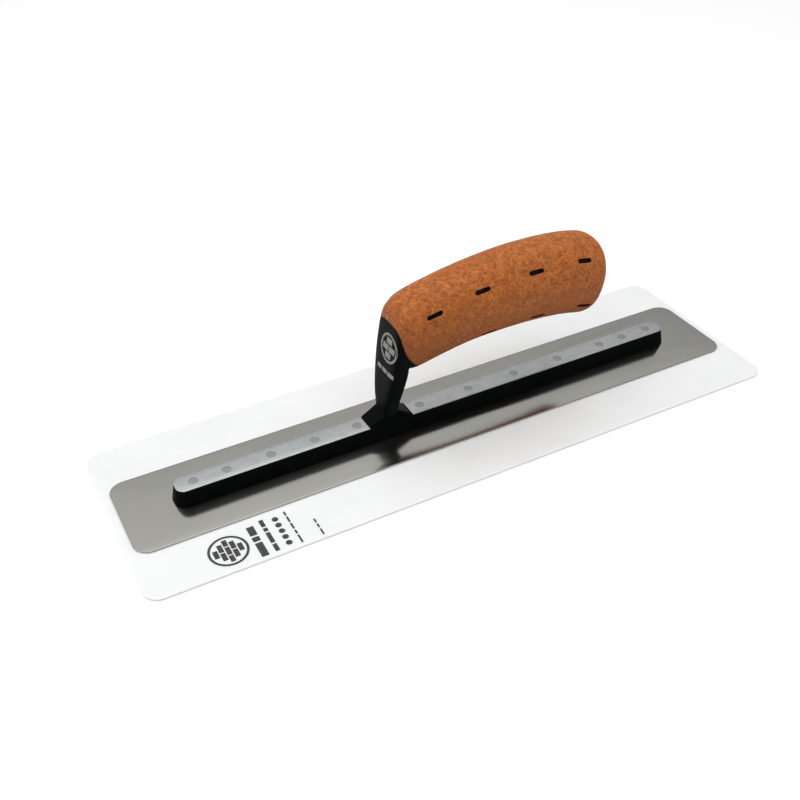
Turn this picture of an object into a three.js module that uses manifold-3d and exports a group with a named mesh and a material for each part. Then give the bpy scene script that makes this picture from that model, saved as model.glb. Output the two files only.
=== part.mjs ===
// Finishing trowel with a flexible plastic blade, a steel backing plate and a cork grip.
// Millimetres, +Z up. +X runs along the blade towards the grip's free end, and the origin is the
// middle of the blade's underside.

import * as THREE from 'three';
import { mergeVertices } from 'three/addons/utils/BufferGeometryUtils.js';
import Module from 'manifold-3d';

const wasm = await Module();
wasm.setup();

// ---------------------------------------------------------------- driving dimensions

const BLADE = { length: 400, width: 125, corner: 9.5, thickness: 1.2 };
const FILM = { length: 386, width: 56, corner: 7, thickness: 0.3 };
const PLATE = { length: 390, width: 60, corner: 9, thickness: 0.6 };

// Mounting bar: outline of its top face; the sides flare out by `draft` down to the plate.
const BAR = { length: 328, width: 12.4, corner: 5, height: 10.3, draft: 2 };

const FILM_BOTTOM = BLADE.thickness;
const PLATE_BOTTOM = FILM_BOTTOM + FILM.thickness;
const BAR_BOTTOM = PLATE_BOTTOM + PLATE.thickness;
const BAR_TOP = BAR_BOTTOM + BAR.height;

// Rivets through the bar and the plate, flush with the bar's top.
const RIVET_X = [-153.5, -134.5, -108.5, -82, -55.5, -14.5, 19, 51.5, 84, 116.5, 134.5, 153.5];
const RIVET = { shank: 1.5, head: 2.55, foot: 3.5, sinkDepth: 1.2 };
const RIVET_CLEARANCE = 0.2;
const FILM_HOLE_RADIUS = 4;

// Raised foot where the shank meets the bar: ramps in side view, above the bar's top.
const FOOT = { front: -50, step: 0.8, frontTop: -41, rearTop: -31, rear: -22, rise: 6, width: 12 };

// Gooseneck sections from the bar to the grip's free end. Each one is a superellipse between a
// point on the outer line (x, z) and a point on the inner line, with its half width across Y.
const SECTIONS = [
  { outer: [-42.3, 5], inner: [-32.2, 5], halfWidth: 5.8, exponent: 5 },
  { outer: [-40.8, 16], inner: [-32.1, 15.3], halfWidth: 6.3, exponent: 5 },
  { outer: [-40, 29], inner: [-31.8, 24.7], halfWidth: 9.5, exponent: 5 },
  { outer: [-38.4, 41.6], inner: [-30.1, 34], halfWidth: 11.8, exponent: 5 },
  { outer: [-36.7, 54.3], inner: [-28.3, 42.2], halfWidth: 13.1, exponent: 5 },
  { outer: [-35, 65.5], inner: [-27.4, 46.7], halfWidth: 13.4, exponent: 5 },
  { outer: [-33.1, 77], inner: [-26.8, 47.7], halfWidth: 13.4, exponent: 4.2 },
  { outer: [-29.9, 84.2], inner: [-21.6, 46.9], halfWidth: 14.5, exponent: 3.4 },
  { outer: [-19.7, 90.7], inner: [-10.1, 48.6], halfWidth: 17.3, exponent: 2.5 },
  { outer: [11.4, 97.3], inner: [13.6, 52.6], halfWidth: 18.8, exponent: 2.3 },
  { outer: [45.6, 100.7], inner: [46, 53.6], halfWidth: 20.3, exponent: 2.2 },
  { outer: [80, 99.5], inner: [73.9, 51.4], halfWidth: 20.8, exponent: 2.2 },
  { outer: [109, 93.5], inner: [96, 46.2], halfWidth: 21.2, exponent: 2.2 },
];

// Rounded free end of the grip: where it starts along the sections (0 to 1), how full it is, how
// far its tip drops below the middle, and how the sections' parameter runs there per millimetre.
const GRIP_END = { start: 0.9475, fullness: 2.3, drop: 0.45, perMillimetre: 1 / 300 };

// Joint between casting and cork: a curve in X and Z, extruded across Y. The casting's head cradles
// the cork's front end and runs a little way under it.
const JOINT = { top: [-33.7, 78.6], bend: [-32.5, 54.9], back: [-19.3, 48.9] };
const JOINT_BEYOND = 25;
const JOINT_REACH = 150;
const JOINT_WIDTH = 60;
const JOINT_GAP = 0.3;

const CORK_THICKNESS = 4;
const CORE_GAP = 0.3;

// Slots through the cork and the core's lugs inside them. Each pair is a place along the sections
// and an angle from the top; both sides of the grip have them.
const SLOT = { length: 9.6, width: 2.6, depth: 6 };
const LUG = { length: 8.6, width: 1.6, top: 2.2, root: 6 };
const SLOT_PLACES = [
  [0.681, 59.5], [0.761, 54], [0.845, 53], [0.934, 51.5],
  [0.692, 141], [0.773, 135], [0.854, 130.5], [0.945, 123],
];

// Straight axis of the tang, screw, washer and plug; distances along it start at `x`, `z`.
const AXIS = { x: -20, z: 63.5, tilt: -1 };
const TANG = { start: -13.5, end: 46, rootRadius: 4.6, endRadius: 5 };
const THREAD = { start: 20, radius: 2.8 };
const SCREW = { start: 24, head: 109.6, headHeight: 4, shaftRadius: 2.45, headRadius: 4.25 };
const SOCKET = { radius: 2, depth: 2.4 };
const WASHER = { start: 108.3, thickness: 1, inner: 2.8, outer: 5.5 };
const COUNTERBORE = { start: 108, radius: 6 };
const SCREW_BORE_RADIUS = 2.9;
const PLUG = { start: 115, edge: 119, crown: 119.9, radius: 5.6 };
const POCKET = { start: 45, end: 135, radius: 5, side: 7, up: 16 };

const ROUND_SEGMENTS = 20;
const NECK_SEGMENTS = 28;
const NECK_RINGS = 28;
const END_RINGS = 6;

const LOOKS = {
  blade: { color: 0xf2f5f5, roughness: 0.35, metalness: 0 },
  film: { color: 0xd8dcd8, roughness: 0.6, metalness: 0 },
  steel: { color: 0x8a8984, roughness: 0.25, metalness: 1 },
  casting: { color: 0x15181a, roughness: 0.55, metalness: 0.1 },
  rivet: { color: 0x7c868a, roughness: 0.4, metalness: 1 },
  cork: { color: 0xb5693a, roughness: 0.85, metalness: 0 },
  plastic: { color: 0x101112, roughness: 0.6, metalness: 0 },
  zinc: { color: 0xb8bcc0, roughness: 0.35, metalness: 1 },
};

// ---------------------------------------------------------------- solids

function toSolid(geometry) {
  const bare = geometry.clone();
  bare.deleteAttribute('normal');
  bare.deleteAttribute('uv');
  const merged = mergeVertices(bare, 1e-4);
  return new wasm.Manifold(new wasm.Mesh({
    numProp: 3,
    vertProperties: new Float32Array(merged.attributes.position.array),
    triVerts: new Uint32Array(merged.index.array),
  }));
}

function toGeometry(solid) {
  const { vertProperties, triVerts } = solid.getMesh();
  const geometry = new THREE.BufferGeometry();
  geometry.setAttribute('position', new THREE.BufferAttribute(vertProperties, 3));
  geometry.setIndex(new THREE.BufferAttribute(triVerts, 1));
  geometry.computeVertexNormals();
  return geometry;
}

const subtractAll = (solid, cutters) => cutters.reduce((rest, cutter) => rest.subtract(cutter), solid);

// ---------------------------------------------------------------- flat stock

function roundedRectangle(halfLength, halfWidth, corner) {
  const x = halfLength - corner;
  const y = halfWidth - corner;
  const outline = new THREE.Shape();
  outline.absarc(x, y, corner, 0, Math.PI / 2);
  outline.absarc(-x, y, corner, Math.PI / 2, Math.PI);
  outline.absarc(-x, -y, corner, Math.PI, Math.PI * 1.5);
  outline.absarc(x, -y, corner, Math.PI * 1.5, Math.PI * 2);
  return outline;
}

function sheet({ length, width, corner, thickness }, holeRadius = 0) {
  const outline = roundedRectangle(length / 2, width / 2, corner);
  if (holeRadius > 0) {
    outline.holes = RIVET_X.map((x) => new THREE.Path().absarc(x, 0, holeRadius, 0, Math.PI * 2));
  }
  return new THREE.ExtrudeGeometry(outline, { depth: thickness, bevelEnabled: false, curveSegments: 8 });
}

// An outline in X and Z, as thick as the joint cutters, with Y in its middle.
function acrossY(outline, curveSegments) {
  const geometry = new THREE.ExtrudeGeometry(outline, { depth: JOINT_WIDTH, bevelEnabled: false, curveSegments });
  return geometry.rotateX(Math.PI / 2).translate(0, JOINT_WIDTH / 2, 0);
}

// ---------------------------------------------------------------- turned pieces

// A profile of [radius, height] pairs turned about local Y.
function turned(profile, segments = ROUND_SEGMENTS) {
  return new THREE.LatheGeometry(profile.map(([radius, height]) => new THREE.Vector2(radius, height)), segments);
}

// The same about world Z.
const turnedUpright = (profile) => turned(profile, 16).rotateX(Math.PI / 2);

const rod = (radius, start, end) => turned([[0, start], [radius, start], [radius, end], [0, end]]);

// Local Y of this group is the straight handle axis.
const handleAxis = new THREE.Group();
handleAxis.position.set(AXIS.x, 0, AXIS.z);
handleAxis.rotation.set(0, THREE.MathUtils.degToRad(AXIS.tilt), -Math.PI / 2, 'YZX');
handleAxis.updateMatrix();

const onHandleAxis = (geometry) => toSolid(geometry.clone().applyMatrix4(handleAxis.matrix));

// ---------------------------------------------------------------- gooseneck surface

const outerLine = new THREE.SplineCurve(SECTIONS.map(({ outer }) => new THREE.Vector2(...outer)));
const innerLine = new THREE.SplineCurve(SECTIONS.map(({ inner }) => new THREE.Vector2(...inner)));
const fullness = new THREE.SplineCurve(
  SECTIONS.map(({ halfWidth, exponent }) => new THREE.Vector2(halfWidth, exponent)),
);

const signedPower = (value, power) => Math.sign(value) * Math.abs(value) ** power;

// Size of a section inside the rounded end, from 1 where the end starts down to nearly 0.
function endScale(place, end) {
  const start = GRIP_END.start - (1 - end);
  const depth = Math.min(Math.max((place - start) / (end - start), 0), 0.995);
  return (1 - depth ** GRIP_END.fullness) ** (1 / GRIP_END.fullness);
}

// A point of the gooseneck's skin, or of a skin `inset` millimetres inside it. `reach` is 1 on the
// skin and 0 in the middle of the section.
function neckPoint(place, angle, inset = 0, reach = 1) {
  const end = 1 - inset * GRIP_END.perMillimetre;
  const outer = outerLine.getPoint(place);
  const inner = innerLine.getPoint(place);
  const { x: halfWidth, y: exponent } = fullness.getPoint(place);
  const middle = outer.clone().add(inner).multiplyScalar(0.5);
  const up = outer.clone().sub(middle);
  up.setLength(up.length() - inset);
  const scale = endScale(place, end);
  const height = reach * scale * signedPower(Math.cos(angle), 2 / exponent) - GRIP_END.drop * (1 - scale);
  const across = reach * scale * signedPower(Math.sin(angle), 2 / exponent);
  return new THREE.Vector3(
    middle.x + up.x * height,
    (halfWidth - inset) * across,
    middle.y + up.y * height,
  );
}

// Places of the rings: even along the neck and grip, then closer round the free end.
function ringPlaces(inset) {
  const end = 1 - inset * GRIP_END.perMillimetre;
  const start = GRIP_END.start - (1 - end);
  const places = [];
  for (let ring = 0; ring < NECK_RINGS; ring++) {
    places.push(start * ring / NECK_RINGS);
  }
  for (let ring = 0; ring <= END_RINGS; ring++) {
    places.push(start + (end - start) * Math.sin(Math.PI / 2 * ring / END_RINGS));
  }
  return places;
}

// A closed cylinder whose rings are moved onto the gooseneck's sections.
function neckSolid(inset = 0) {
  const places = ringPlaces(inset);
  const rings = places.length - 1;
  const geometry = new THREE.CylinderGeometry(1, 1, 1, NECK_SEGMENTS, rings);
  const position = geometry.attributes.position;
  for (let i = 0; i < position.count; i++) {
    const ring = Math.round((0.5 - position.getY(i)) * rings);
    const angle = Math.atan2(position.getX(i), position.getZ(i));
    const reach = Math.round(Math.hypot(position.getX(i), position.getZ(i)));
    const point = neckPoint(places[ring], angle, inset, reach);
    position.setXYZ(i, point.x, point.y, point.z);
  }
  return toSolid(geometry);
}

// The space behind the joint. `gap` draws it back from the casting.
function gripSpace(gap = 0) {
  const top = new THREE.Vector2(...JOINT.top);
  const bend = new THREE.Vector2(...JOINT.bend);
  const back = new THREE.Vector2(...JOINT.back);
  const above = top.clone().sub(bend).setLength(JOINT_BEYOND).add(top);
  const below = back.clone().sub(bend).setLength(JOINT_BEYOND).add(back);
  const outline = new THREE.Shape();
  outline.moveTo(above.x, above.y);
  outline.lineTo(top.x, top.y);
  outline.quadraticCurveTo(bend.x, bend.y, back.x, back.y);
  outline.lineTo(below.x, below.y);
  outline.lineTo(JOINT_REACH, below.y);
  outline.lineTo(JOINT_REACH, above.y);
  return toSolid(acrossY(outline, 24).translate(gap, 0, gap));
}

// ---------------------------------------------------------------- casting

// A flared bar: the lower ring of a straight extrusion moves out along the outline's normal.
function barSolid() {
  const { length, width, corner, height, draft } = BAR;
  const outline = roundedRectangle(length / 2, width / 2, corner);
  const geometry = new THREE.ExtrudeGeometry(outline, { depth: height, bevelEnabled: false, curveSegments: 8 });
  const position = geometry.attributes.position;
  const inner = new THREE.Vector2(length / 2 - corner, width / 2 - corner);
  for (let i = 0; i < position.count; i++) {
    if (position.getZ(i) < height / 2) {
      const point = new THREE.Vector2(position.getX(i), position.getY(i));
      const centre = point.clone().clamp(inner.clone().negate(), inner);
      const moved = point.clone().add(point.clone().sub(centre).setLength(draft));
      position.setXY(i, moved.x, moved.y);
    }
  }
  return toSolid(geometry.translate(0, 0, BAR_BOTTOM));
}

function footSolid() {
  const { front, step, frontTop, rearTop, rear, rise, width } = FOOT;
  const profile = new THREE.Shape();
  profile.moveTo(front, BAR_TOP - 1);
  profile.lineTo(rear, BAR_TOP - 1);
  profile.lineTo(rear, BAR_TOP);
  profile.lineTo(rearTop, BAR_TOP + rise);
  profile.lineTo(frontTop, BAR_TOP + rise);
  profile.lineTo(front, BAR_TOP + step);
  const geometry = new THREE.ExtrudeGeometry(profile, { depth: width, bevelEnabled: false });
  return toSolid(geometry.rotateX(Math.PI / 2).translate(0, width / 2, 0));
}

function rivetHole(x) {
  const straight = RIVET.shank + RIVET_CLEARANCE;
  const mouth = RIVET.head + RIVET_CLEARANCE;
  const hole = turnedUpright([
    [0, BAR_BOTTOM - 1],
    [straight, BAR_BOTTOM - 1],
    [straight, BAR_TOP - RIVET.sinkDepth],
    [mouth, BAR_TOP],
    [mouth, BAR_TOP + 1],
    [0, BAR_TOP + 1],
  ]);
  return toSolid(hole.translate(x, 0, 0));
}

function tangSolid(extra = 0) {
  const { start, end, rootRadius, endRadius } = TANG;
  return onHandleAxis(turned([
    [0, start],
    [rootRadius + extra, start],
    [endRadius + extra, end + extra],
    [0, end + extra],
  ]));
}

function castingSolid() {
  const head = neckSolid().subtract(gripSpace());
  const body = barSolid().add(footSolid()).add(head).add(tangSolid());
  const thread = onHandleAxis(rod(THREAD.radius, THREAD.start, TANG.end + 1));
  return subtractAll(body, [thread, ...RIVET_X.map(rivetHole)]);
}

// ---------------------------------------------------------------- grip

// A round-ended bar standing on the grip's skin, long side along the grip, from `low` to `high`
// millimetres above the skin.
function skinBar(place, angle, { length, width }, low, high) {
  const step = 1e-3;
  const point = neckPoint(place, angle);
  const along = neckPoint(place + step, angle).sub(neckPoint(place - step, angle)).normalize();
  const round = neckPoint(place, angle + step).sub(neckPoint(place, angle - step)).normalize();
  const outward = along.clone().cross(round).normalize();
  const side = outward.clone().cross(along);
  const outline = roundedRectangle(length / 2, width / 2, width / 2 - 0.01);
  const depth = high - low;
  const geometry = new THREE.ExtrudeGeometry(outline, { depth, bevelEnabled: false, curveSegments: 1 });
  geometry.translate(0, 0, low);
  const placing = new THREE.Matrix4().makeBasis(along, side, outward).setPosition(point);
  return toSolid(geometry.applyMatrix4(placing));
}

function skinBars(outline, low, high) {
  return [1, -1].flatMap((side) => SLOT_PLACES.map(([place, degrees]) => (
    skinBar(place, side * THREE.MathUtils.degToRad(degrees), outline, low, high)
  )));
}

function corkSolid() {
  const plugHole = onHandleAxis(rod(COUNTERBORE.radius, COUNTERBORE.start + 4, POCKET.end));
  const slots = skinBars(SLOT, -SLOT.depth, 2);
  const cutters = [neckSolid(CORK_THICKNESS), tangSolid(CORE_GAP), plugHole, ...slots];
  return subtractAll(neckSolid().intersect(gripSpace(JOINT_GAP)), cutters);
}

function pocketCutter(side) {
  const geometry = rod(POCKET.radius, POCKET.start, POCKET.end);
  return onHandleAxis(geometry.translate(-POCKET.up, 0, side * POCKET.side));
}

function coreSolid() {
  const body = neckSolid(CORK_THICKNESS + CORE_GAP);
  const lugs = skinBars(LUG, -LUG.root, -LUG.top);
  const cutters = [
    tangSolid(CORE_GAP),
    onHandleAxis(rod(SCREW_BORE_RADIUS, TANG.end, COUNTERBORE.start + 1)),
    onHandleAxis(rod(COUNTERBORE.radius, COUNTERBORE.start, POCKET.end)),
    pocketCutter(1),
    pocketCutter(-1),
  ];
  const core = lugs.reduce((rest, lug) => rest.add(lug), body).intersect(gripSpace(JOINT_GAP));
  return subtractAll(core, cutters);
}

// ---------------------------------------------------------------- fasteners

function rivetGeometry() {
  return turnedUpright([
    [0, FILM_BOTTOM],
    [RIVET.foot, FILM_BOTTOM],
    [RIVET.foot, PLATE_BOTTOM],
    [RIVET.shank, PLATE_BOTTOM],
    [RIVET.shank, BAR_TOP - RIVET.sinkDepth],
    [RIVET.head, BAR_TOP],
    [0, BAR_TOP],
  ]);
}

function screwGeometry() {
  const { start, head, headHeight, shaftRadius, headRadius } = SCREW;
  const top = head + headHeight;
  return turned([
    [0, start],
    [shaftRadius - 0.6, start],
    [shaftRadius, start + 1.5],
    [shaftRadius, head],
    [headRadius, head],
    [headRadius, top - 0.5],
    [headRadius - 0.5, top],
    [SOCKET.radius, top],
    [SOCKET.radius, top - SOCKET.depth],
    [0, top - SOCKET.depth],
  ]);
}

function washerGeometry() {
  const { start, thickness, inner, outer } = WASHER;
  const end = start + thickness;
  return turned([[inner, start], [outer, start], [outer, end], [inner, end], [inner, start]]);
}

function plugGeometry() {
  const { start, edge, crown, radius } = PLUG;
  return turned([
    [0, start],
    [radius - 0.6, start],
    [radius, start + 0.8],
    [radius, edge - 0.4],
    [radius - 0.4, edge],
    [radius * 0.5, crown - 0.15],
    [0, crown],
  ]);
}

// ---------------------------------------------------------------- assembly

function namedMesh(name, geometry, look) {
  const mesh = new THREE.Mesh(geometry, new THREE.MeshStandardMaterial({ ...look, flatShading: true }));
  mesh.name = name;
  return mesh;
}

const trowel = new THREE.Group();

trowel.add(namedMesh('plastic_blade', sheet(BLADE), LOOKS.blade));

const film = namedMesh('bond_film', sheet(FILM, FILM_HOLE_RADIUS), LOOKS.film);
film.position.z = FILM_BOTTOM;
trowel.add(film);

const plate = namedMesh('steel_plate', sheet(PLATE, RIVET.shank + RIVET_CLEARANCE), LOOKS.steel);
plate.position.z = PLATE_BOTTOM;
trowel.add(plate);

trowel.add(namedMesh('mount_casting', toGeometry(castingSolid()), LOOKS.casting));

RIVET_X.forEach((x, index) => {
  const number = String(index + 1).padStart(2, '0');
  const rivet = namedMesh(`rivet_${number}`, rivetGeometry(), LOOKS.rivet);
  rivet.position.x = x;
  trowel.add(rivet);
});

trowel.add(namedMesh('handle_core', toGeometry(coreSolid()), LOOKS.plastic));
trowel.add(namedMesh('cork_sleeve', toGeometry(corkSolid()), LOOKS.cork));

handleAxis.add(namedMesh('handle_screw', screwGeometry(), LOOKS.zinc));
handleAxis.add(namedMesh('screw_washer', washerGeometry(), LOOKS.zinc));
handleAxis.add(namedMesh('end_plug', plugGeometry(), LOOKS.plastic));
trowel.add(handleAxis);

export default trowel;
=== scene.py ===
from math import cos, pi, radians, sin

import bmesh
import bpy
import numpy as np
from mathutils import Matrix, Vector, noise
from mathutils.bvhtree import BVHTree


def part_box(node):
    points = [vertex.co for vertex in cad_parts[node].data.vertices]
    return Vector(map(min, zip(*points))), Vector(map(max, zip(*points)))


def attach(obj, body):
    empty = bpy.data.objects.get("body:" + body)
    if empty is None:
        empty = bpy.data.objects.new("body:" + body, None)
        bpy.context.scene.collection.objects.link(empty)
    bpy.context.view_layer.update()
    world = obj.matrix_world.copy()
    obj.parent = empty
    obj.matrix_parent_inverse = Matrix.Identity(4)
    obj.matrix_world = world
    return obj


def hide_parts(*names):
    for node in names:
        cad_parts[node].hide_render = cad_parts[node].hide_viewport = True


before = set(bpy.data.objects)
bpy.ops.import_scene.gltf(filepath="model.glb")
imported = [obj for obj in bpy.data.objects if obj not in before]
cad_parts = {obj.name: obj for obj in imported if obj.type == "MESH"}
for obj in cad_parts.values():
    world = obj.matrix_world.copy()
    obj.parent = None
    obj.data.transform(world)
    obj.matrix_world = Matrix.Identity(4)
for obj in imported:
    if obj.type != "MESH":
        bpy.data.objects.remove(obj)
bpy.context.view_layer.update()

# Lengths are in millimetres until a piece is settled, which scales its mesh to metres.
MM = 0.001


def box_mm(node):
    low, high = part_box(node)
    return np.array(low) / MM, np.array(high) / MM


BLADE_LOW, BLADE_HIGH = box_mm("plastic_blade")
PLATE_LOW, PLATE_HIGH = box_mm("steel_plate")
RIVETS = [f"rivet_{number:02d}" for number in range(1, 13)]
RIVET_PLACES = [(box_mm(rivet)[0] + box_mm(rivet)[1]) / 2 for rivet in RIVETS]
RIVET_BOTTOM, BAR_TOP = (edge[2] for edge in box_mm(RIVETS[0]))
BAR_BOTTOM = box_mm("mount_casting")[0][2]

# ---------------------------------------------------------------- dimensions

BLADE_CORNER = 9.5
PLATE_CORNER = 9
SHEET_EDGE = 0.22

BAR_HALF = (164, 6.2)
BAR_CORNER = 5
BAR_DRAFT = 2
BAR_EDGE = 0.3

RIVET_SHANK = 1.5
RIVET_HEAD = 2.55
RIVET_FOOT = 3.5
RIVET_SINK = 1.2
RIVET_GAP = 0.06

# Side view of the raised foot: x and height above the bar's top.
FOOT_PROFILE = [(-50, -1), (-22, -1), (-22, 0), (-31, 6), (-41, 6), (-50, 0.8)]
FOOT_HALF_WIDTH = 6
CAST_VOXEL = 0.42
CAST_SMOOTHING = 14
CAST_PLACES = (0.02, 0.72)
MILLED_SLOPE = 0.3

# Gooseneck sections: outer x and z, inner x and z, half width, exponent of the superellipse.
SECTIONS = np.array([
    (-42.3, 5, -32.2, 5, 5.8, 5),
    (-40.8, 16, -32.1, 15.3, 6.3, 5),
    (-40, 29, -31.8, 24.7, 9.5, 5),
    (-38.4, 41.6, -30.1, 34, 11.8, 5),
    (-36.7, 54.3, -28.3, 42.2, 13.1, 5),
    (-35, 65.5, -27.4, 46.7, 13.4, 5),
    (-33.1, 77, -26.8, 47.7, 13.4, 4.2),
    (-29.9, 84.2, -21.6, 46.9, 14.5, 3.4),
    (-19.7, 90.7, -10.1, 48.6, 17.3, 2.5),
    (11.4, 97.3, 13.6, 52.6, 18.8, 2.3),
    (45.6, 100.7, 46, 53.6, 20.3, 2.2),
    (80, 99.5, 73.9, 51.4, 20.8, 2.2),
    (109, 93.5, 96, 46.2, 21.2, 2.2),
])
END_START = 0.9475
END_FULLNESS = 2.3
END_DROP = 0.45
PLACE_PER_MM = 1 / 300

# Joint between casting and cork: three points of a curve in x and z.
JOINT_TOP = np.array([-33.7, 78.6])
JOINT_BEND = np.array([-32.5, 54.9])
JOINT_BACK = np.array([-19.3, 48.9])
JOINT_BEYOND = 25
JOINT_REACH = 150
JOINT_HALF_WIDTH = 30
JOINT_GAP = 0.06
JOINT_SEARCH = (0.2, 0.8)

CORK_THICKNESS = 4
CORK_EDGE = 0.9
CORK_SEGMENTS = 288
CORK_BODY_RINGS = 250
CORK_END_RINGS = 44
CORK_TANG_GAP = 0.1
CORE_GAP = 0.3
INSIDE_START = 0.3

GRANULE = 1.7
SMALL_GRANULE = 0.75
GRANULE_DEPTH = (0.03, 0.05)
BROKEN_ABOVE = 0.34
BROKEN_DEPTH = 0.16
BROKEN_FALL = 1.6

SLOT_HALF = (4.8, 1.3)
SLOT_DEPTH = 6
SLOT_FLARE = 0.4
LUG_HALF = (4.3, 0.8)
LUG_TOP = 2.6
SLOT_PLACES = [
    (0.681, 59.5), (0.761, 54), (0.845, 53), (0.928, 52),
    (0.692, 137), (0.773, 131), (0.854, 126.5), (0.945, 120),
]

# Straight axis of tang, screw and plug.
AXIS_START = np.array([-20, 0, 63.5])
AXIS_TILT = radians(1)
TANG_PROFILE = [(0, -13.5), (4.6, -13.5), (5, 45), (4.2, 46), (0, 46)]
THREAD_RADIUS = 2.8
THREAD_START = 20
PLUG_HOLE_RADIUS = 5.75
SCREW_BORE_RADIUS = 2.9
SCREW_BORE_START = 45
COUNTERBORE_RADIUS = 6
COUNTERBORE_START = 108
BORE_END = 135
PLUG_PROFILE = [
    (0, 115), (5, 115), (5.6, 115.8), (5.6, 118.5), (5.5, 118.8), (5.2, 119), (4.2, 119.15),
    (3.6, 119.0), (2.4, 119.25), (0, 119.5),
]

# Printed signs on the blade: across is Y and up is -X. Signs are centre, radius, courses, line;
# rows are left, right, low, high, lengths of the bars, gap.
PRINT_HEIGHT = 0.03
PRINT_SIGN = ((-47.5, 152.5), 10.8, 5, 0.13)
PRINT_ROWS = [
    (-60, -36.5, 134.9, 138.9, (3, 1, 2), 1.2),
    (-59.5, -34.5, 128.8, 131.2, (2, 3, 1, 2), 1),
]
PRINT_DOTS = [(-56.8 + index * 4.8, 122.8) for index in range(5)]
PRINT_DOT_RADIUS = 1.75
SMALL_PRINT_ROWS = [
    (-60, -34.5, 116, 117.1, (4, 2, 3, 3, 2), 1),
    (-60, -47, 104, 105, (3, 2, 2), 1),
]

# Sign on the head: across is Y and up is Z, found on the surface from a start in front of it.
MARK_SIGN = ((-3, 61.2), 8.8, 3, 0.16)
MARK_BARS = ((-11, -5), (-3.9, 1.2), (2.3, 6.4))
MARK_BAR_HEIGHTS = (45, 47.6)
MARK_DEPTHS = (-0.05, 0.04)
MARK_START = -80

# Bricks of a sign, in heights of a course.
BRICK_LENGTH = 1.9
BRICK_HEIGHT = 0.8
BRICK_MORTAR = 0.1
BRICK_SHORTEST = 0.25

# ---------------------------------------------------------------- meshes


def new_piece(name, points, faces):
    mesh = bpy.data.meshes.new(name)
    mesh.from_pydata(np.asarray(points, dtype=float).tolist(), [], faces)
    piece = bpy.data.objects.new(name, mesh)
    bpy.context.scene.collection.objects.link(piece)
    face_outwards(piece)
    return piece


def face_outwards(piece):
    work = bmesh.new()
    work.from_mesh(piece.data)
    bmesh.ops.recalc_face_normals(work, faces=work.faces)
    work.to_mesh(piece.data)
    work.free()


def bake(piece):
    """Replaces the mesh by what its modifiers make of it."""
    bpy.context.view_layer.update()
    result = piece.evaluated_get(bpy.context.evaluated_depsgraph_get())
    mesh = bpy.data.meshes.new_from_object(result)
    piece.modifiers.clear()
    piece.data = mesh


def combine(piece, others, operation):
    """Adds, cuts or intersects with the others, which are used up."""
    for other in others:
        modifier = piece.modifiers.new("combine", "BOOLEAN")
        modifier.operation = operation
        modifier.solver = "MANIFOLD"
        modifier.object = other
    bake(piece)
    for other in others:
        bpy.data.objects.remove(other)


def ring_faces(rings, segments):
    corners = np.arange(rings * segments).reshape(rings, segments)
    following = np.roll(corners, -1, axis=1)
    quads = np.stack([corners[:-1], following[:-1], following[1:], corners[1:]], axis=-1)
    return quads.reshape(-1, 4).tolist()


def loft(name, rings):
    """A closed body through equal rings, with a flat face over each end."""
    rings = np.asarray(rings, dtype=float)
    count, segments = rings.shape[:2]
    faces = ring_faces(count, segments)
    faces.append(list(range(segments)))
    faces.append(list(range((count - 1) * segments, count * segments)))
    return new_piece(name, rings.reshape(-1, 3), faces)


def turned(name, profile, segments):
    """A profile of (radius, height) pairs, on the axis at both ends, turned about Z."""
    turns = np.arange(segments) * 2 * pi / segments
    inner = np.array(profile[1:-1], dtype=float)
    rings = np.stack([
        inner[:, :1] * np.cos(turns),
        inner[:, :1] * np.sin(turns),
        np.repeat(inner[:, 1:], segments, axis=1),
    ], axis=-1)
    points = [(0, 0, profile[0][1]), *rings.reshape(-1, 3), (0, 0, profile[-1][1])]
    faces = [[corner + 1 for corner in face] for face in ring_faces(len(inner), segments)]
    last = (len(inner) - 1) * segments + 1
    for segment in range(segments):
        after = (segment + 1) % segments
        faces.append([0, segment + 1, after + 1])
        faces.append([len(points) - 1, last + segment, last + after])
    return new_piece(name, points, faces)


def rod(name, radius, start, end, segments=64):
    return turned(name, [(0, start), (radius, start), (radius, end), (0, end)], segments)


def move(piece, matrix):
    piece.data.transform(matrix)
    return piece


def on_axis(piece):
    """Moves a piece turned about Z onto the handle's straight axis."""
    basis = Matrix((
        (0, -sin(AXIS_TILT), cos(AXIS_TILT)),
        (1, 0, 0),
        (0, cos(AXIS_TILT), sin(AXIS_TILT)),
    )).to_4x4()
    return move(piece, Matrix.Translation(AXIS_START) @ basis)


def rounded_rectangle(half_x, half_y, corner, per_corner=12):
    turns = np.linspace(0, pi / 2, per_corner + 1)
    points = []
    for quarter, (sx, sy) in enumerate([(1, 1), (-1, 1), (-1, -1), (1, -1)]):
        around = turns + quarter * pi / 2
        centre = np.array([sx * (half_x - corner), sy * (half_y - corner)])
        points.append(centre + corner * np.stack([np.cos(around), np.sin(around)], axis=-1))
    return np.concatenate(points)


def upright(name, half_x, half_y, corner, profile):
    """A rounded rectangle carried up through (growth, z) pairs."""
    rings = []
    for growth, z in profile:
        outline = rounded_rectangle(half_x + growth, half_y + growth, corner + growth)
        rings.append(np.column_stack([outline, np.full(len(outline), z)]))
    return loft(name, rings)


def rounded_edge(radius, steps=4):
    """(inset, rise) pairs over a quarter circle, from the side to the flat."""
    return [(radius * (1 - cos(turn)), radius * sin(turn)) for turn in np.linspace(0, pi / 2, steps + 1)]


def sheet(name, low, high, corner):
    edge = rounded_edge(min(SHEET_EDGE, (high[2] - low[2]) / 2.2))
    radius = edge[-1][1]
    below = [(-inset, low[2] + radius - rise) for inset, rise in reversed(edge)]
    above = [(-inset, high[2] - radius + rise) for inset, rise in edge]
    return upright(name, high[0], high[1], corner, below + above)


# ---------------------------------------------------------------- gooseneck surface


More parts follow.
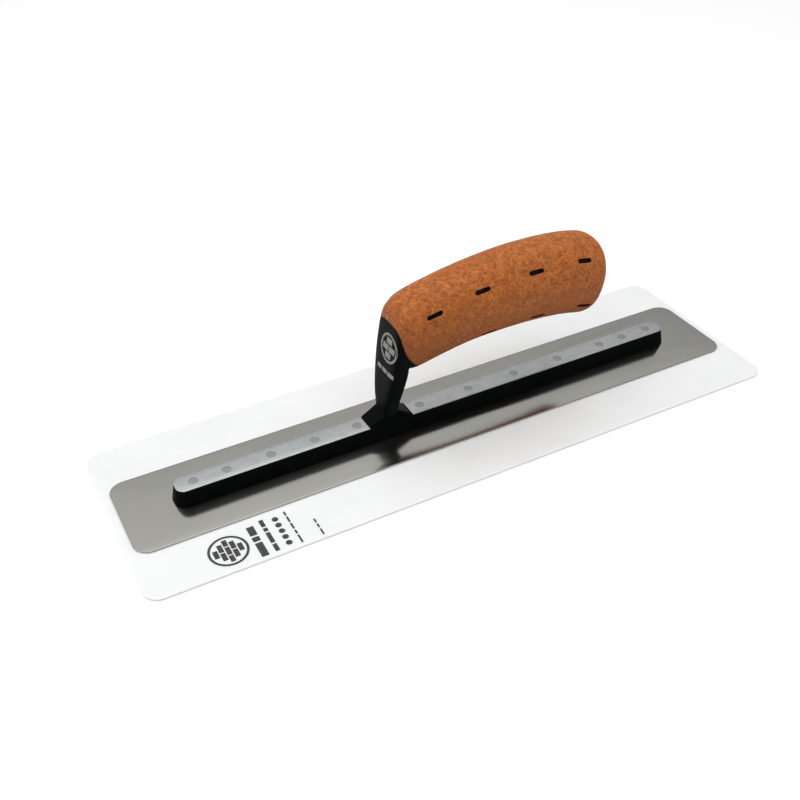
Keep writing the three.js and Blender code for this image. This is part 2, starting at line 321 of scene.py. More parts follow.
def catmull_rom(table, place):
    last = len(table) - 1
    run = np.clip(place, 0, 1) * last
    index = np.minimum(run.astype(int), last - 1)
    share = (run - index)[..., None]
    before, start = table[np.maximum(index - 1, 0)], table[index]
    end, after = table[index + 1], table[np.minimum(index + 2, last)]
    leaving = (end - before) / 2
    arriving = (after - start) / 2
    cubic = 2 * start - 2 * end + leaving + arriving
    square = 3 * end - 3 * start - 2 * leaving - arriving
    return cubic * share**3 + square * share**2 + leaving * share + start


def signed_power(value, power):
    return np.sign(value) * np.abs(value) ** power


def neck_points(place, angle, inset=0.0):
    """Points of the gooseneck's skin, or of a skin `inset` inside it."""
    place, angle = np.broadcast_arrays(np.asarray(place, float), np.asarray(angle, float))
    section = catmull_rom(SECTIONS, place)
    outer, inner = section[..., 0:2], section[..., 2:4]
    half_width, exponent = section[..., 4], section[..., 5]
    middle = (outer + inner) / 2
    up = outer - middle
    length = np.linalg.norm(up, axis=-1, keepdims=True)
    up = up * (length - inset) / length
    end = 1 - inset * PLACE_PER_MM
    start = END_START - (1 - end)
    depth = np.clip((place - start) / (end - start), 0, 1 - 1e-7)
    scale = (1 - depth**END_FULLNESS) ** (1 / END_FULLNESS)
    height = scale * signed_power(np.cos(angle), 2 / exponent) - END_DROP * (1 - scale)
    across = scale * signed_power(np.sin(angle), 2 / exponent)
    return np.stack([
        middle[..., 0] + up[..., 0] * height,
        (half_width - inset) * across,
        middle[..., 1] + up[..., 1] * height,
    ], axis=-1)


def end_places(start, end, rings):
    return start + (end - start) * np.sin(np.linspace(0, pi / 2, rings + 1))


def neck_body(name, inset, first, last, segments, rings):
    """The gooseneck between two places as one body; `last` of None runs to the rounded end."""
    places = np.linspace(first, last or END_START - inset * PLACE_PER_MM, rings + 1)
    if last is None:
        places = np.concatenate([places, end_places(places[-1], 1 - inset * PLACE_PER_MM, 24)[1:]])
    angles = np.arange(segments) * 2 * pi / segments
    return loft(name, neck_points(places[:, None], angles[None, :], inset))


def joint_line():
    share = np.linspace(0, 1, 33)[:, None]
    curve = (1 - share) ** 2 * JOINT_TOP + 2 * share * (1 - share) * JOINT_BEND + share**2 * JOINT_BACK
    rise = JOINT_TOP - JOINT_BEND
    run = JOINT_BACK - JOINT_BEND
    above = JOINT_TOP + rise / np.linalg.norm(rise) * JOINT_BEYOND
    below = JOINT_BACK + run / np.linalg.norm(run) * JOINT_BEYOND
    return np.vstack([above, curve, below])


def joint_distance(points):
    """Distance from the joint in side view, positive on the grip's side."""
    line = joint_line()
    start, run = line[:-1], line[1:] - line[:-1]
    offset = points[..., None, :][..., [0, 2]] - start
    share = np.clip((offset * run).sum(-1) / (run * run).sum(-1), 0, 1)
    distance = np.linalg.norm(offset - share[..., None] * run, axis=-1)
    side = np.sign(run[:, 0] * offset[..., 1] - run[:, 1] * offset[..., 0])
    nearest = distance.argmin(-1)[..., None]
    return (np.take_along_axis(distance, nearest, -1) * np.take_along_axis(side, nearest, -1))[..., 0]


def place_at_joint(angle, inset, distance):
    """Where the skin has come `distance` past the joint, for each angle."""
    low = np.full_like(angle, JOINT_SEARCH[0])
    high = np.full_like(angle, JOINT_SEARCH[1])
    for _ in range(36):
        middle = (low + high) / 2
        beyond = joint_distance(neck_points(middle, angle, inset)) > distance
        low, high = np.where(beyond, low, middle), np.where(beyond, middle, high)
    return (low + high) / 2


def grip_space(gap=0.0):
    """The space behind the joint, drawn back from the casting by `gap`."""
    line = joint_line() + gap
    outline = np.vstack([line, [JOINT_REACH, line[-1][1]], [JOINT_REACH, line[0][1]]])
    sides = [np.insert(outline, 1, y, axis=1) for y in (-JOINT_HALF_WIDTH, JOINT_HALF_WIDTH)]
    return loft("grip_space", sides)


# ---------------------------------------------------------------- materials


def feed(tree, node, inputs):
    for key, value in inputs.items():
        if isinstance(value, bpy.types.NodeSocket):
            tree.links.new(value, node.inputs[key])
        else:
            node.inputs[key].default_value = value


def add_node(tree, kind, inputs, **settings):
    node = tree.nodes.new("ShaderNode" + kind)
    for key, value in settings.items():
        setattr(node, key, value)
    feed(tree, node, inputs)
    return node


def map_range(tree, source, low, high, start, end):
    inputs = {"Value": source, "From Min": low, "From Max": high, "To Min": start, "To Max": end}
    return add_node(tree, "MapRange", inputs).outputs["Result"]


class Look:
    """A material: one principled shader and the nodes that feed it."""

    def __init__(self, name, **sockets):
        self.material = bpy.data.materials.new(name)
        self.material.use_nodes = True
        self.tree = self.material.node_tree
        self.shader = self.tree.nodes["Principled BSDF"]
        self.place = self.tree.nodes.new("ShaderNodeTexCoord").outputs["Object"]
        self.set(**sockets)

    def node(self, kind, inputs, **settings):
        return add_node(self.tree, kind, inputs, **settings)

    def stretched(self, scale):
        """Object coordinates in millimetres, multiplied along each axis."""
        factors = [value / MM for value in scale]
        return self.node("Mapping", {"Vector": self.place, "Scale": factors}).outputs["Vector"]

    def noise(self, scale, detail=3.0, roughness=0.5):
        """Noise whose features per millimetre are given for each axis."""
        inputs = {"Vector": self.stretched(scale), "Scale": 1.0, "Detail": detail, "Roughness": roughness}
        return self.node("TexNoise", inputs).outputs["Fac"]

    def granules(self, size, feature="F1"):
        inputs = {"Vector": self.stretched([1 / size] * 3), "Scale": 1.0}
        return self.node("TexVoronoi", inputs, feature=feature)

    def spread(self, source, low, high, start, end):
        return map_range(self.tree, source, low, high, start, end)

    def blend(self, source, first, second, low=0.3, high=0.7):
        """From the first colour to the second as the source rises from low to high."""
        return self.mix(self.spread(source, low, high, 0, 1), first, second)

    def mix(self, factor, first, second):
        node = self.tree.nodes.new("ShaderNodeMix")
        node.data_type = "RGBA"
        for index, value in ((0, factor), (6, first), (7, second)):
            if isinstance(value, bpy.types.NodeSocket):
                self.tree.links.new(value, node.inputs[index])
            else:
                node.inputs[index].default_value = (*value, 1) if isinstance(value, tuple) else value
        return node.outputs[2]

    def ramp(self, source, stops):
        node = self.node("ValToRGB", {"Fac": source})
        elements = node.color_ramp.elements
        while len(elements) < len(stops):
            elements.new(0.5)
        for element, (position, colour) in zip(elements, stops):
            element.position = position
            element.color = (*colour, 1)
        return node.outputs["Color"]

    def add(self, first, second):
        return self.node("Math", {0: first, 1: second}, operation="ADD").outputs[0]

    def bump(self, height, depth, strength=1.0):
        """Relief `depth` millimetres deep."""
        inputs = {"Height": height, "Distance": depth * MM, "Strength": strength}
        feed(self.tree, self.shader, {"Normal": self.node("Bump", inputs).outputs["Normal"]})

    def set(self, **sockets):
        inputs = {name.replace("_", " "): value for name, value in sockets.items()}
        feed(self.tree, self.shader, inputs)
        return self.material


def grey(value, tint=(1, 1, 1)):
    return tuple(value * share for share in tint)


def cork_look():
    look = Look("cork")
    large = look.granules(GRANULE)
    small = look.granules(SMALL_GRANULE)
    pick = look.node("SeparateColor", {"Color": large.outputs["Color"]})
    pick_small = look.node("SeparateColor", {"Color": small.outputs["Color"]})
    tan = look.ramp(pick.outputs["Red"], [
        (0.0, (0.15, 0.034, 0.006)), (0.3, (0.34, 0.085, 0.014)),
        (0.65, (0.5, 0.135, 0.018)), (1.0, (0.6, 0.2, 0.045)),
    ])
    fine = look.ramp(pick_small.outputs["Green"], [
        (0.0, (0.22, 0.055, 0.011)), (0.4, (0.42, 0.112, 0.016)), (1.0, (0.6, 0.2, 0.045)),
    ])
    colour = look.mix(0.5, tan, fine)
    grain = look.noise((1.9, 1.9, 1.9), 5, 0.7)
    colour = look.mix(look.spread(grain, 0.52, 0.68, 0, 0.65), colour, (0.13, 0.032, 0.007))
    colour = look.mix(look.spread(grain, 0.46, 0.32, 0, 0.5), colour, (0.7, 0.24, 0.055))
    cloud = look.noise((0.09, 0.09, 0.09), 2)
    colour = look.mix(look.spread(cloud, 0.35, 0.7, 0, 0.3), colour, (0.27, 0.068, 0.012))
    # Painted shade: the cork's colour darkens towards the bottom of the grip, standing in for the shade on
    # its lower side.
    painted_shade_height = look.node("SeparateXYZ", {"Vector": look.place}).outputs["Z"]
    colour = look.mix(look.spread(painted_shade_height, 0.052, 0.088, 0.7, 0), colour, (0.15, 0.04, 0.007))
    seams = look.granules(GRANULE, "DISTANCE_TO_EDGE").outputs["Distance"]
    height = look.add(look.spread(seams, 0, 0.12, 0, 0.6), look.spread(grain, 0.3, 0.8, 0.6, 0))
    look.bump(height, 0.16, 0.8)
    roughness = look.spread(grain, 0.3, 0.7, 0.5, 0.75)
    return look.set(Base_Color=colour, Roughness=roughness, Specular_IOR_Level=0.25)


def slot_shade_cork_look():
    """Painted shade: cork inside the moulded slots, coloured much darker than the ground skin to stand in
    for the shade in these recesses.
    """
    look = Look("slot_shade_cork")
    grain = look.noise((1.9, 1.9, 1.9), 4, 0.65)
    colour = look.blend(grain, (0.085, 0.024, 0.007), (0.028, 0.009, 0.004), 0.35, 0.65)
    look.bump(grain, 0.1)
    return look.set(Base_Color=colour, Roughness=0.9, Specular_IOR_Level=0.05)


def coat_look():
    look = Look("black_coat")
    speckle = look.noise((1.4, 1.4, 1.4), 4, 0.6)
    cloud = look.noise((0.07, 0.07, 0.07), 2)
    colour = look.blend(cloud, (0.001, 0.0016, 0.0016), (0.002, 0.0031, 0.0031))
    look.bump(speckle, 0.05, 0.6)
    roughness = look.spread(speckle, 0.3, 0.7, 0.4, 0.52)
    return look.set(Base_Color=colour, Roughness=roughness, Specular_IOR_Level=0.035)


def steel_look():
    look = Look("brushed_steel")
    brushed = look.noise((0.012, 4.0, 1.0), 4, 0.7)
    clouds = look.noise((0.02, 0.05, 0.05), 3)
    colour = look.blend(brushed, grey(0.37, (1, 0.985, 0.9)), grey(0.42, (1, 0.99, 0.91)))
    colour = look.mix(look.spread(clouds, 0.35, 0.7, 0, 0.35), colour, grey(0.34, (0.98, 1, 0.97)))
    height = look.add(look.spread(brushed, 0, 1, 0, 0.4), look.spread(clouds, 0, 1, 0, 3))
    look.bump(height, 0.006)
    roughness = look.spread(brushed, 0.3, 0.7, 0.14, 0.19)
    return look.set(Base_Color=colour, Roughness=roughness, Metallic=1.0)


def milled_look():
    look = Look("milled_alloy")
    scratches = look.noise((0.05, 2.6, 1.0), 4, 0.65)
    blotches = look.noise((0.22, 0.45, 0.45), 4, 0.6)
    colour = look.blend(scratches, grey(0.42, (0.955, 1, 0.985)), grey(0.51, (0.96, 1, 0.985)))
    colour = look.mix(look.spread(blotches, 0.45, 0.62, 0, 0.7), colour, grey(0.39, (0.95, 1, 1.03)))
    look.bump(look.add(scratches, blotches), 0.03)
    roughness = look.spread(blotches, 0.3, 0.7, 0.3, 0.42)
    return look.set(Base_Color=colour, Roughness=roughness, Metallic=1.0)


def rivet_look():
    look = Look("rivet_alloy")
    marks = look.noise((0.9, 0.9, 0.9), 4)
    colour = look.blend(marks, grey(0.27, (0.97, 1, 1)), grey(0.36, (0.97, 1, 1)))
    look.bump(marks, 0.02)
    roughness = look.spread(marks, 0.3, 0.7, 0.3, 0.45)
    return look.set(Base_Color=colour, Roughness=roughness, Metallic=1.0)


def sheet_look():
    look = Look("plastic_sheet", Subsurface_Weight=0.5, Subsurface_Scale=0.004,
                Subsurface_Radius=(1, 1, 1))
    haze = look.noise((0.03, 0.03, 0.03), 3)
    texture = look.noise((1.1, 1.1, 1.1), 3)
    colour = look.blend(haze, grey(0.86, (0.985, 1, 1.0)), grey(0.9, (0.99, 1, 1.0)))
    look.bump(texture, 0.008)
    roughness = look.spread(texture, 0.3, 0.7, 0.28, 0.4)
    return look.set(Base_Color=colour, Roughness=roughness)


def film_look():
    look = Look("adhesive_film")
    haze = look.noise((0.2, 0.2, 0.2), 3)
    colour = look.blend(haze, grey(0.6, (0.98, 1, 0.98)), grey(0.72, (0.98, 1, 0.98)))
    look.bump(haze, 0.02)
    return look.set(Base_Color=colour, Roughness=0.6)


def plastic_look():
    look = Look("black_plastic")
    texture = look.noise((1.8, 1.8, 1.8), 3)
    colour = look.blend(texture, grey(0.012), grey(0.03))
    look.bump(texture, 0.03)
    roughness = look.spread(texture, 0.3, 0.7, 0.45, 0.6)
    return look.set(Base_Color=colour, Roughness=roughness, Specular_IOR_Level=0.3)


def zinc_look():
    look = Look("zinc_plating")
    marks = look.noise((0.7, 0.7, 0.7), 4)
    colour = look.blend(marks, grey(0.5, (0.97, 0.99, 1)), grey(0.66, (0.98, 1, 1.02)))
    look.bump(marks, 0.02)
    return look.set(Base_Color=colour, Roughness=look.spread(marks, 0.3, 0.7, 0.25, 0.4), Metallic=1.0)


def ink_look():
    look = Look("print_ink")
    wear = look.noise((0.8, 0.8, 0.8), 4, 0.65)
    colour = look.blend(wear, grey(0.012), grey(0.09), 0.45, 0.75)
    look.bump(wear, 0.004)
    return look.set(Base_Color=colour, Roughness=0.5)


def paint_look():
    look = Look("mark_paint")
    wear = look.noise((0.6, 0.6, 0.6), 5, 0.7)
    colour = look.blend(wear, grey(0.3, (1, 0.95, 0.92)), grey(0.12), 0.46, 0.66)
    look.bump(wear, 0.02)
    return look.set(Base_Color=colour, Roughness=0.6, Specular_IOR_Level=0.2)


LOOKS = {
    "cork": cork_look(),
    # Painted shade inside the grip's slots.
    "slot_shade_cork": slot_shade_cork_look(),
    "coat": coat_look(),
    "steel": steel_look(),
    "milled": milled_look(),
    "rivet": rivet_look(),
    "sheet": sheet_look(),
    "film": film_look(),
    "plastic": plastic_look(),
    "zinc": zinc_look(),
    "ink": ink_look(),
    "paint": paint_look(),
}


def settle(piece, look, nodes=(), smooth=35):
    """Scales a finished piece to metres and puts it into the frame."""
    piece.data.transform(Matrix.Scale(MM, 4))
    piece.data.materials.clear()
    piece.data.materials.append(LOOKS[look])
    piece.data.shade_smooth()
    piece.data.set_sharp_from_angle(angle=radians(smooth))
    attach(piece, "root")
    if nodes:
        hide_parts(*nodes)
    return piece


# ---------------------------------------------------------------- blade and plate


def build_blade():
    blade = sheet("blade_sheet", BLADE_LOW, BLADE_HIGH, BLADE_CORNER)
    settle(blade, "sheet", ["plastic_blade"])


def build_plate():
    plate = sheet("backing_plate", PLATE_LOW, PLATE_HIGH, PLATE_CORNER)
    holes = []
    for place in RIVET_PLACES:
        hole = rod("hole", RIVET_SHANK + RIVET_GAP, PLATE_LOW[2] - 1, PLATE_HIGH[2] + 1, 32)
        holes.append(move(hole, Matrix.Translation((place[0], 0, 0))))
    combine(plate, holes, "DIFFERENCE")
    settle(plate, "steel", ["steel_plate"])


def build_rivets():
    top = BAR_TOP - 0.02
    profile = [
        (0, RIVET_BOTTOM), (RIVET_FOOT - 0.1, RIVET_BOTTOM), (RIVET_FOOT, RIVET_BOTTOM + 0.1),
        (RIVET_FOOT, PLATE_LOW[2]), (RIVET_SHANK, PLATE_LOW[2]), (RIVET_SHANK, BAR_TOP - RIVET_SINK),
        (RIVET_HEAD - 0.05, top - 0.06), (RIVET_HEAD - 0.08, top - 0.01), (RIVET_HEAD - 0.3, top), (0, top),
    ]
    for number, (node, place) in enumerate(zip(RIVETS, RIVET_PLACES), 1):
        rivet = turned(f"flush_rivet_{number:02d}", profile, 64)
        move(rivet, Matrix.Translation((place[0], 0, 0)))
        settle(rivet, "rivet", [node])


# ---------------------------------------------------------------- casting


def foot_body():
    outline = [(x, BAR_TOP + rise) for x, rise in FOOT_PROFILE]
    sides = [[(x, y, z) for x, z in outline] for y in (-FOOT_HALF_WIDTH, FOOT_HALF_WIDTH)]
    return loft("foot", sides)


def cast_neck():
    """Shank, head and foot run together, with the soft inner corners of a casting."""
    neck = neck_body("neck", 0, *CAST_PLACES, 96, 150)
    combine(neck, [foot_body()], "UNION")
    remesh = neck.modifiers.new("cast", "REMESH")
    remesh.mode = "VOXEL"
    remesh.voxel_size = CAST_VOXEL
    soften = neck.modifiers.new("soften", "SMOOTH")
    soften.factor = 0.5
    soften.iterations = CAST_SMOOTHING
    bake(neck)
    combine(neck, [grip_space()], "DIFFERENCE")
    return neck


def bar_body():
    slope = BAR_DRAFT / (BAR_TOP - BAR_BOTTOM)
    edge = [
        (slope * (BAR_EDGE - rise) - inset, BAR_TOP - BAR_EDGE + rise)
        for inset, rise in rounded_edge(BAR_EDGE)
    ]
    profile = [(BAR_DRAFT - 0.15, BAR_BOTTOM), (BAR_DRAFT, BAR_BOTTOM + 0.15), *edge]
    return upright("bar", *BAR_HALF, BAR_CORNER, profile)


def rivet_hole(place):
    profile = [
        (0, BAR_BOTTOM - 1), (RIVET_SHANK + RIVET_GAP, BAR_BOTTOM - 1),
        (RIVET_SHANK + RIVET_GAP, BAR_TOP - RIVET_SINK), (RIVET_HEAD + RIVET_GAP, BAR_TOP),
        (RIVET_HEAD + RIVET_GAP, BAR_TOP + 1), (0, BAR_TOP + 1),
    ]
    return move(turned("hole", profile, 48), Matrix.Translation((place[0], 0, 0)))


def split_at(piece, places):
    """Cuts faces along planes across X, so that materials can change there."""
    work = bmesh.new()
    work.from_mesh(piece.data)
    for x in places:
        everything = [*work.verts, *work.edges, *work.faces]
        bmesh.ops.bisect_plane(work, geom=everything, dist=1e-4, plane_co=(x, 0, 0), plane_no=(1, 0, 0))
    work.to_mesh(piece.data)
    work.free()


def build_casting():
    casting = cast_neck()
    casting.name = "alloy_casting"
    tang = on_axis(turned("tang", TANG_PROFILE, 64))
    combine(casting, [bar_body(), tang], "UNION")
    thread = on_axis(rod("thread", THREAD_RADIUS, THREAD_START, TANG_PROFILE[-1][1] + 1, 32))
    combine(casting, [thread, *(rivet_hole(place) for place in RIVET_PLACES)], "DIFFERENCE")
    foot_start, foot_end = FOOT_PROFILE[0][0], FOOT_PROFILE[1][0]
    split_at(casting, (foot_start, foot_end))
    settle(casting, "coat", ["mount_casting"], 28)
    casting.data.materials.append(LOOKS["milled"])
    highest = (BAR_TOP + 0.01) * MM
    lowest = (BAR_TOP - BAR_EDGE * 0.95) * MM
    for face in casting.data.polygons:
        level = lowest < face.center.z < highest and face.normal.z > MILLED_SLOPE
        if level and not foot_start < face.center.x / MM < foot_end:
            face.material_index = 1
    return casting


# ---------------------------------------------------------------- grip


def cork_rings(angles):
    rings = []
    for turn in np.linspace(0, pi / 2, 7):
        inset = CORK_EDGE * (1 - sin(turn))
        distance = JOINT_GAP + CORK_EDGE * (1 - cos(turn))
        place = place_at_joint(angles, inset, distance)
        rings.append(neck_points(place, angles, inset))
    for share in np.linspace(0, 1, CORK_BODY_RINGS + 1)[1:]:
        rings.append(neck_points(place + (END_START - place) * share, angles))
    for place in end_places(END_START, 1, CORK_END_RINGS)[1:]:
        rings.append(neck_points(np.full_like(angles, place), angles))
    return np.array(rings)


def cork_body():
    """The grip's outer form; its front face lies along the joint, in strips across Y."""
    angles = np.arange(CORK_SEGMENTS) * 2 * pi / CORK_SEGMENTS
    rings = cork_rings(angles)
    faces = ring_faces(len(rings), CORK_SEGMENTS)
    half = CORK_SEGMENTS // 2
    faces.append([0, 1, CORK_SEGMENTS - 1])
    faces.append([half, half - 1, half + 1])
    for index in range(1, half - 1):
        faces.append([index, index + 1, CORK_SEGMENTS - index - 1, CORK_SEGMENTS - index])
    last = (len(rings) - 1) * CORK_SEGMENTS
    faces.append(list(range(last, last + CORK_SEGMENTS)))
    return new_piece("cork_grip", rings.reshape(-1, 3), faces)


def granule_depth(point):
    """How far below the skin the cork lies at a point: uneven granules and a few broken out."""
    distances, centres = noise.voronoi(point / GRANULE)
    pick = noise.noise(centres[0] * 7.3)
    depth = GRANULE_DEPTH[0] + GRANULE_DEPTH[1] * pick
    if pick > BROKEN_ABOVE:
        depth += BROKEN_DEPTH * max(0.0, 1 - distances[0] * BROKEN_FALL)
    return max(0.0, depth)


def roughen(piece):
    mesh = piece.data
    points = np.array([vertex.co for vertex in mesh.vertices])
    normals = np.array([vertex.normal for vertex in mesh.vertices])
    reach = np.clip((joint_distance(points) - 0.4) / 1.5, 0, 1)
    depths = np.array([granule_depth(Vector(point)) for point in points])
    points -= normals * (depths * reach)[:, None]
    mesh.vertices.foreach_set("co", points.ravel())
    mesh.update()


def skin_frame(place, angle):
    """Matrix at a point of the grip's skin: along the grip, across, outwards."""
    step = 1e-3
    point = neck_points(place, angle)
    along = neck_points(place + step, angle) - neck_points(place - step, angle)
    round_ = neck_points(place, angle + step) - neck_points(place, angle - step)
    along = Vector(along).normalized()
    outward = along.cross(Vector(round_)).normalized()
    side = outward.cross(along)
    basis = Matrix((along, side, outward)).transposed().to_4x4()
    return Matrix.Translation(Vector(point)) @ basis


def skin_bars(name, half, profile):
    """A rounded bar at every slot place on both sides, through (growth, height) pairs."""
    bars = []
    for side in (1, -1):
        for place, degrees in SLOT_PLACES:
            bar = upright(name, half[0], half[1], half[1] - 0.01, profile)
            bars.append(move(bar, skin_frame(place, side * radians(degrees))))
    return bars


def darken_slots(cork):
    """Gives the faces inside the slots the cork with painted shade, which stands in for the shade in these
    recesses.
    """
    cork.data.materials.append(LOOKS["slot_shade_cork"])
    faces = cork.data.polygons
    centres = np.empty(len(faces) * 3)
    faces.foreach_get("center", centres)
    centres = np.column_stack([centres.reshape(-1, 3) / MM, np.ones(len(faces))])
    inside = np.zeros(len(faces), dtype=bool)
    for side in (1, -1):
        for place, degrees in SLOT_PLACES:
            frame_back = np.array(skin_frame(place, side * radians(degrees)).inverted())
            along, across, height = (centres @ frame_back.T)[:, :3].T
            near = (abs(along) < SLOT_HALF[0] + 0.5) & (abs(across) < SLOT_HALF[1] + 0.5)
            inside |= near & (height < -SLOT_FLARE - 0.1) & (height > -SLOT_DEPTH)
    faces.foreach_set("material_index", inside.astype(np.int32))


def slot_cutters():
    flare = [
        (SLOT_FLARE * (1 - cos(turn)), -SLOT_FLARE * (1 - sin(turn)) + 0.08)
        for turn in np.linspace(0, pi / 2, 5)
    ]
    profile = [(0, -SLOT_DEPTH), *flare, (SLOT_FLARE, 2)]
    return skin_bars("slot", SLOT_HALF, profile)


def inside_body(name, inset):
    return neck_body(name, inset, INSIDE_START, None, 96, 90)


def tang_space(gap):
    """The tang's form, `gap` wider all round."""
    profile = [(radius + (gap if radius else 0), z) for radius, z in TANG_PROFILE]
    return on_axis(turned("tang_space", profile, 64))


def build_cork():
    cork = cork_body()
    roughen(cork)
    cutters = [
        inside_body("inside", CORK_THICKNESS),
        tang_space(CORK_TANG_GAP),
        on_axis(rod("plug_hole", PLUG_HOLE_RADIUS, COUNTERBORE_START, BORE_END, 96)),
    ]
    combine(cork, cutters + slot_cutters(), "DIFFERENCE")
    settle(cork, "cork", ["cork_sleeve"], 50)
    darken_slots(cork)


def build_core():
    core = inside_body("inner_core", CORK_THICKNESS + CORE_GAP)
    profile = [(0, -SLOT_DEPTH), (0, -LUG_TOP - 0.3), (-0.12, -LUG_TOP - 0.08), (-0.35, -LUG_TOP)]
    combine(core, skin_bars("lug", LUG_HALF, profile), "UNION")
    combine(core, [grip_space(JOINT_GAP)], "INTERSECT")
    cutters = [
        tang_space(CORE_GAP),
        on_axis(rod("screw_bore", SCREW_BORE_RADIUS, SCREW_BORE_START, COUNTERBORE_START + 1)),
        on_axis(rod("counterbore", COUNTERBORE_RADIUS, COUNTERBORE_START, BORE_END)),
    ]
    combine(core, cutters, "DIFFERENCE")
    settle(core, "plastic", ["handle_core"])


def build_plug():
    plug = on_axis(turned("hole_plug", PLUG_PROFILE, 96))
    settle(plug, "plastic", ["end_plug"])


# ---------------------------------------------------------------- marks


def bar_grid(left, right, low, high, cells=1):
    """Corner grid of a bar, as points across and up."""
    across = np.linspace(left, right, cells + 1)
    return np.array([[(u, low), (u, high)] for u in across]), False


def ring_grid(centre, inner, outer, cells=72):
    turns = np.arange(cells) * 2 * pi / cells
    circle = np.stack([np.cos(turns), np.sin(turns)], axis=-1)
    return np.stack([centre + circle * inner, centre + circle * outer], axis=1), True


def dot_grid(centre, radius):
    return ring_grid(centre, radius * 0.02, radius, 28)


def brick_ring(centre, radius, courses, line):
    """A round sign: a ring with courses of bricks inside."""
    centre = np.array(centre)
    grids = [ring_grid(centre, radius * (1 - line), radius)]
    inside = radius * (0.9 - line)
    height = 2 * inside / courses
    for course in range(courses):
        low = -inside + course * height + height * BRICK_MORTAR
        high = low + height * BRICK_HEIGHT
        reach = (inside**2 - max(abs(low), abs(high)) ** 2 * 0.92) ** 0.5
        shift = 0.5 * (course % 2)
        for step in range(-3, 4):
            middle = step + shift
            left = max(-reach, (middle - 0.5) * height * BRICK_LENGTH + height * BRICK_MORTAR)
            right = min(reach, (middle + 0.5) * height * BRICK_LENGTH - height * BRICK_MORTAR)
            if right - left > height * BRICK_SHORTEST:
                sides = centre[0] + left, centre[0] + right
                grids.append(bar_grid(*sides, centre[1] + low, centre[1] + high, 5))
    return grids


def stamp(name, grids, place, low, high):
    """Thin closed bodies over 2-D grids; place(u, v, lift) gives the point in space."""
    points, faces = [], []
    for grid, closed in grids:
        columns = len(grid)
        first = len(points)
        for lift in (low, high):
            points += [place(u, v, lift) for column in grid for u, v in column]
        under, over = first, first + 2 * columns
        for column in range(columns if closed else columns - 1):
            a, b = 2 * column, 2 * ((column + 1) % columns)
            faces.append([over + a, over + b, over + b + 1, over + a + 1])
            faces.append([under + a, under + a + 1, under + b + 1, under + b])
            faces.append([under + a, under + b, over + b, over + a])
            faces.append([under + a + 1, over + a + 1, over + b + 1, under + b + 1])
        if not closed:
            end = 2 * (columns - 1)
            faces.append([under, over, over + 1, under + 1])
            faces.append([under + end, under + end + 1, over + end + 1, over + end])
    return new_piece(name, points, faces)


def dashes(left, right, low, high, lengths, gap):
    """A row of bars whose lengths share out the row."""
    free = right - left - gap * (len(lengths) - 1)
    grids, start = [], left
    for length in lengths:
        end = start + free * length / sum(lengths)
        grids.append(bar_grid(start, end, low, high))
        start = end + gap
    return grids


def build_print():
    """Generic signs printed on the blade's near left corner; up is towards -X."""
    top = BLADE_HIGH[2]

    def place(u, v, lift):
        return (-v, u, top + lift)

    grids = brick_ring(*PRINT_SIGN)
    for row in PRINT_ROWS:
        grids += dashes(*row)
    grids += [dot_grid(np.array(centre), PRINT_DOT_RADIUS) for centre in PRINT_DOTS]
    mark = stamp("blade_print", grids, place, 0.0, PRINT_HEIGHT)
    settle(mark, "ink")
    fine = [bar for row in SMALL_PRINT_ROWS for bar in dashes(*row)]
    small = stamp("blade_small_print", fine, place, 0.0, PRINT_HEIGHT)
    settle(small, "ink")


def build_shank_mark(casting):
    """A pale brick sign over a short line on the head's front face."""
    points = [vertex.co / MM for vertex in casting.data.vertices]
    surface = BVHTree.FromPolygons(points, [tuple(face.vertices) for face in casting.data.polygons])

    def place(u, v, lift):
        hit = surface.ray_cast(Vector((MARK_START, u, v)), Vector((1, 0, 0)))[0]
        return (hit.x - lift, u, v)

    grids = brick_ring(*MARK_SIGN)
    grids += [bar_grid(*sides, *MARK_BAR_HEIGHTS, 8) for sides in MARK_BARS]
    mark = stamp("shank_mark", grids, place, *MARK_DEPTHS)
    settle(mark, "paint")


# ---------------------------------------------------------------- assembly

build_blade()
build_plate()
build_rivets()
cast = build_casting()
build_cork()
build_core()
build_plug()
build_print()
build_shank_mark(cast)

for node, look in (("bond_film", "film"), ("handle_screw", "zinc"), ("screw_washer", "zinc")):
    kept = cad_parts[node]
    kept.data.materials.clear()
    kept.data.materials.append(LOOKS[look])

# ---------------------------------------------------------------- studio

FLOOR_HALF = 30.0
FLOOR_HEIGHT = -0.0001

KEY_PLACE = (-0.2, 0.0, 1.6)
KEY_TARGET = (0, 0, 0.05)
KEY_SIZE = 1.9
KEY_POWER = 20

# The room's brightness over one axis of the direction: from, to, level at from, level at to.
ROOM_RISE = (-0.1, 0.75, 0.25, 1.0)
ROOM_HORIZON = (0.14, 0.3, 0.62, 0.0)
ROOM_ALONG = (-0.6, 0.9, 1.1, 0.8)
ROOM_FRONT = (-0.8, 0.5, 0.4, 1.0)

CAMERA_PLACE = (-0.243512, -0.409852, 0.372742)
CAMERA_AZIMUTH = radians(-27.804)
CAMERA_ELEVATION = radians(37.237)
CAMERA_ROLL = radians(-0.621)
CAMERA_LENS = 45.2246
CAMERA_SENSOR = 36


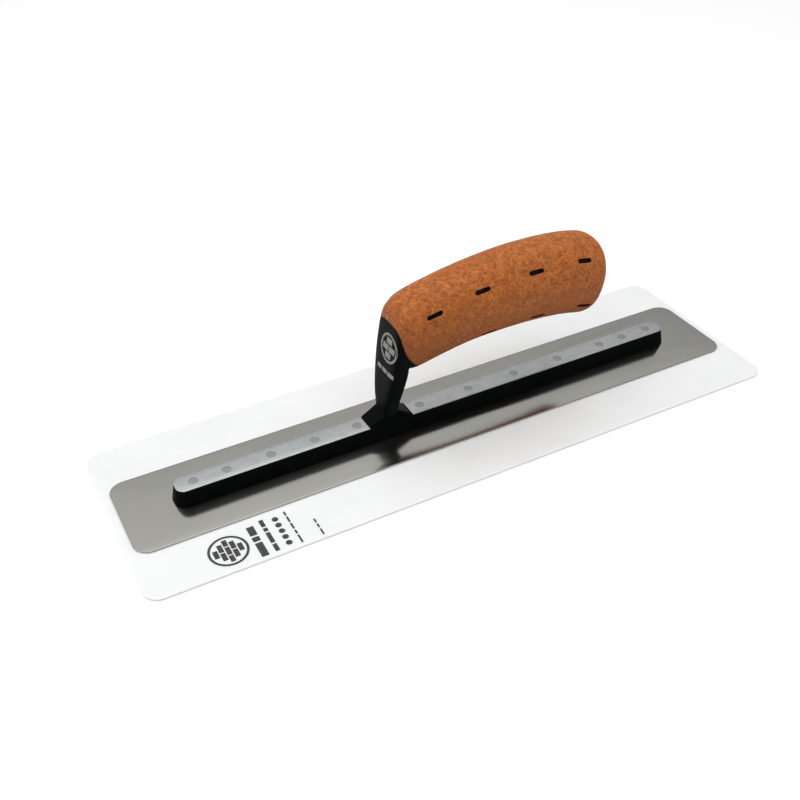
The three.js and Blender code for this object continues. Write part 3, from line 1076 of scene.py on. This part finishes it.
def build_floor():
    signs = ((-1, -1), (1, -1), (1, 1), (-1, 1))
    corners = [(x * FLOOR_HALF, y * FLOOR_HALF, FLOOR_HEIGHT) for x, y in signs]
    floor = new_piece("floor", corners, [[0, 1, 2, 3]])
    look = Look("floor")
    haze = look.noise((0.004, 0.004, 0.004), 2)
    colour = look.blend(haze, grey(0.96), grey(0.98))
    floor.data.materials.append(look.set(Base_Color=colour, Roughness=0.9, Specular_IOR_Level=0.1))


def build_key():
    light = bpy.data.lights.new("key", "AREA")
    light.shape = "RECTANGLE"
    light.size = light.size_y = KEY_SIZE
    light.energy = KEY_POWER
    lamp = bpy.data.objects.new("key", light)
    turn = (Vector(KEY_TARGET) - Vector(KEY_PLACE)).to_track_quat("-Z", "Y")
    lamp.matrix_world = Matrix.Translation(KEY_PLACE) @ turn.to_matrix().to_4x4()
    bpy.context.scene.collection.objects.link(lamp)


def build_world():
    """A pale room: brighter overhead, darker towards +X and -Y, pale just above the horizon."""
    world = bpy.data.worlds.new("studio")
    world.use_nodes = True
    tree = world.node_tree
    bpy.context.scene.world = world

    direction = add_node(tree, "TexCoord", {}).outputs["Generated"]
    parts = add_node(tree, "SeparateXYZ", {"Vector": direction}).outputs
    level = map_range(tree, parts["Z"], *ROOM_RISE)
    horizon = map_range(tree, parts["Z"], *ROOM_HORIZON)
    along = map_range(tree, parts["X"], *ROOM_ALONG)
    front = map_range(tree, parts["Y"], *ROOM_FRONT)
    for other, operation in ((along, "MULTIPLY"), (front, "MULTIPLY"), (horizon, "MAXIMUM")):
        level = add_node(tree, "Math", {0: level, 1: other}, operation=operation).outputs[0]
    tree.links.new(level, tree.nodes["Background"].inputs["Strength"])
    tree.nodes["Background"].inputs["Color"].default_value = (1, 1, 1, 1)


def build_camera():
    data = bpy.data.cameras.new("camera")
    data.sensor_width = CAMERA_SENSOR
    data.lens = CAMERA_LENS
    data.clip_start = 0.01
    camera = bpy.data.objects.new("camera", data)
    camera.matrix_world = (
        Matrix.Translation(CAMERA_PLACE)
        @ Matrix.Rotation(CAMERA_AZIMUTH, 4, "Z")
        @ Matrix.Rotation(pi / 2 - CAMERA_ELEVATION, 4, "X")
        @ Matrix.Rotation(CAMERA_ROLL, 4, "Z")
    )
    bpy.context.scene.collection.objects.link(camera)
    bpy.context.scene.camera = camera


build_floor()
build_world()
build_key()
build_camera()
bpy.context.scene.view_settings.view_transform = "Standard"

bpy.context.view_layer.update()
